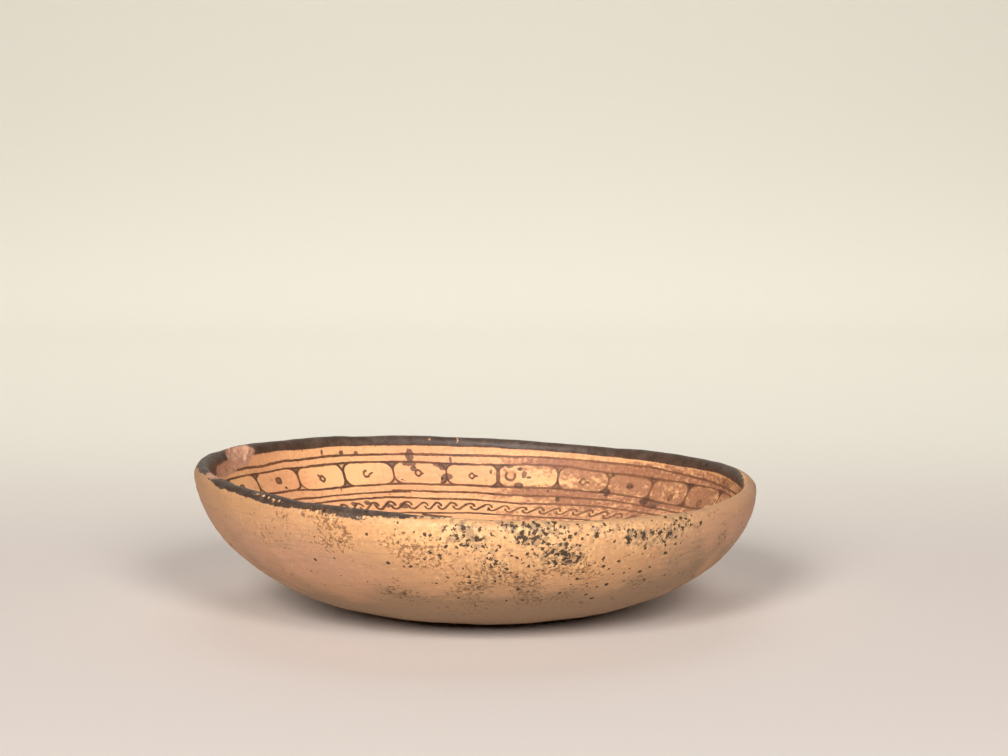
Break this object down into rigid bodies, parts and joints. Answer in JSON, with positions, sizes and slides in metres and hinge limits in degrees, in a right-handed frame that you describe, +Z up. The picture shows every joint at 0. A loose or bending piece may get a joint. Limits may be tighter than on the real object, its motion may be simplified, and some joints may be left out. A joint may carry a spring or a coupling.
{
  "type": "pottery bowl",
  "caption": "Shallow round pottery bowl with a turned-in lip, an uneven worn rim and a rounded underside, painted inside with bands, framed cells and a running scroll.",
  "frame": {"origin": "middle of the bowl's plan, on the surface that it stands on", "axes": "+Z up, out of the open mouth; -Y towards the side that faces the camera; +X to the right in that view"},
  "size_m": [0.204, 0.204, 0.0539],
  "materials": {
    "slipped_clay": "low-fired clay with a burnished orange-buff slip, dark brown painted decoration, matt to faintly satin, worn"
  },
  "bodies": {
    "root": {"bowl": "slipped_clay"}
  },
  "joints": []
}
